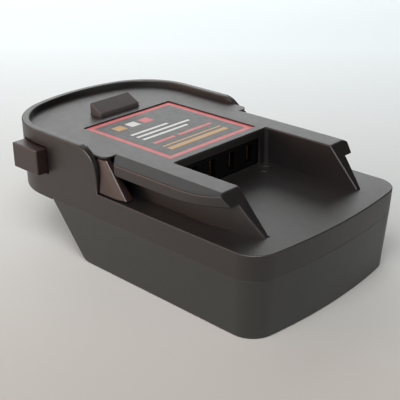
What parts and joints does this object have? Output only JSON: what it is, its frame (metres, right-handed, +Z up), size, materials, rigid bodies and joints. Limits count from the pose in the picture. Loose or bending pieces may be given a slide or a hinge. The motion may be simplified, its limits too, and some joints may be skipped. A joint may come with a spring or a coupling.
{
  "type": "tool battery adapter",
  "caption": "Slide-on battery adapter with a lipped rail fork, sprung side latches and a rimmed plate on top, and a battery socket with blade terminals below.",
  "frame": {"origin": "centre of the footprint, on the surface that the adapter stands on", "axes": "+X across the adapter to its right side, +Y along it from the open fork to the rounded tail, +Z up"},
  "size_m": [0.0846, 0.1336, 0.0475],
  "materials": {
    "shell_plastic": "black, finely textured, satin",
    "latch_plastic": "black, finely textured, satin",
    "label_film": "printed film, satin, with a red border",
    "pad_rubber": "matte",
    "terminal_plastic": "matte",
    "contact_brass": "satin",
    "spring_steel": "drawn wire",
    "screw_steel": "zinc plated",
    "board_laminate": "green solder resist",
    "chip_resin": "moulded resin",
    "capacitor_can": "dark sleeve",
    "fuse_ceramic": "ceramic body with plated caps",
    "wire_red": "insulation",
    "wire_black": "insulation",
    "wire_white": "insulation",
    "wire_yellow": "insulation"
  },
  "bodies": {
    "housing": {"upper_shell": "shell_plastic", "lower_shell": "shell_plastic", "left_latch_spring": "spring_steel", "right_latch_spring": "spring_steel", "label": "label_film", "stop_pad": "pad_rubber", "tool_terminal_block": "terminal_plastic", "tool_contact_positive": "contact_brass", "tool_contact_negative": "contact_brass", "tool_contact_sense": "contact_brass", "tool_contact_data": "contact_brass", "battery_terminal_block": "terminal_plastic", "battery_blade_positive": "contact_brass", "battery_blade_negative": "contact_brass", "battery_blade_sense": "contact_brass", "battery_blade_data": "contact_brass", "circuit_board": "board_laminate", "power_transistors": "chip_resin", "controller_chip": "chip_resin", "smoothing_capacitor": "capacitor_can", "input_fuse": "fuse_ceramic", "wire_battery_positive": "wire_red", "wire_battery_negative": "wire_black", "wire_battery_sense": "wire_white", "wire_battery_data": "wire_yellow", "wire_tool_positive": "wire_red", "wire_tool_negative": "wire_black", "wire_tool_sense": "wire_white", "wire_tool_data": "wire_yellow", "shell_screws": "screw_steel", "tool_block_screws": "screw_steel", "battery_block_screws": "screw_steel"},
    "left_latch": {"left_latch": "latch_plastic"},
    "right_latch": {"right_latch": "latch_plastic"}
  },
  "joints": [
    {"name": "left_latch_press", "type": "slide", "parent": "housing", "child": "left_latch", "axis": [1, 0, 0], "range_m": [0, 0.003], "stiffness_N_per_m": 900, "springref_m": -0.003, "deforming": ["left_latch_spring"]},
    {"name": "right_latch_press", "type": "slide", "parent": "housing", "child": "right_latch", "axis": [-1, 0, 0], "range_m": [0, 0.003], "stiffness_N_per_m": 900, "springref_m": -0.003, "deforming": ["right_latch_spring"]}
  ]
}
